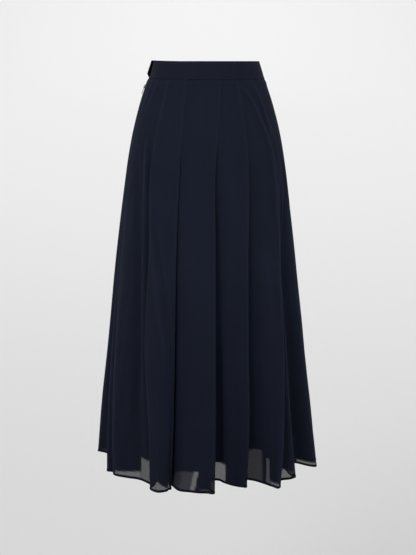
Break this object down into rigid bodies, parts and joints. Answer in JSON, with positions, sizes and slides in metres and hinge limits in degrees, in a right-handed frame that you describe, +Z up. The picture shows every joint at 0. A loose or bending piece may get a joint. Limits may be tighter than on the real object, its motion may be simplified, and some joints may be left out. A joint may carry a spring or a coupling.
{
  "type": "pleated midi skirt",
  "caption": "Worn-form midi skirt: fitted waistband with a side tab, sheer pleats released at the hip, a shorter lining and a side zip.",
  "frame": {"origin": "middle of the waistband's top edge, where the wearer's waist holds the skirt", "axes": "+Z up along the skirt, -Y the front, +X to the right seen from the front"},
  "size_m": [0.5078, 0.4771, 0.9054],
  "materials": {
    "band_cloth": "matt woven navy cloth, folded double",
    "chiffon": "sheer matt navy chiffon, pleated",
    "lining_cloth": "opaque smooth navy lining",
    "zip_enamel": "satin navy enamel"
  },
  "bodies": {
    "skirt": {"waistband": "band_cloth", "skirt_front": "chiffon", "skirt_back": "chiffon", "lining_front": "lining_cloth", "lining_back": "lining_cloth", "zip_slider": "zip_enamel"},
    "pull_tab": {"zip_pull": "zip_enamel"}
  },
  "joints": [
    {"name": "pull_swing", "type": "hinge", "parent": "skirt", "child": "pull_tab", "pos_m": [-0.13483, 0, -0.05318], "axis": [0, 1, 0], "range_deg": [0, 150]}
  ]
}
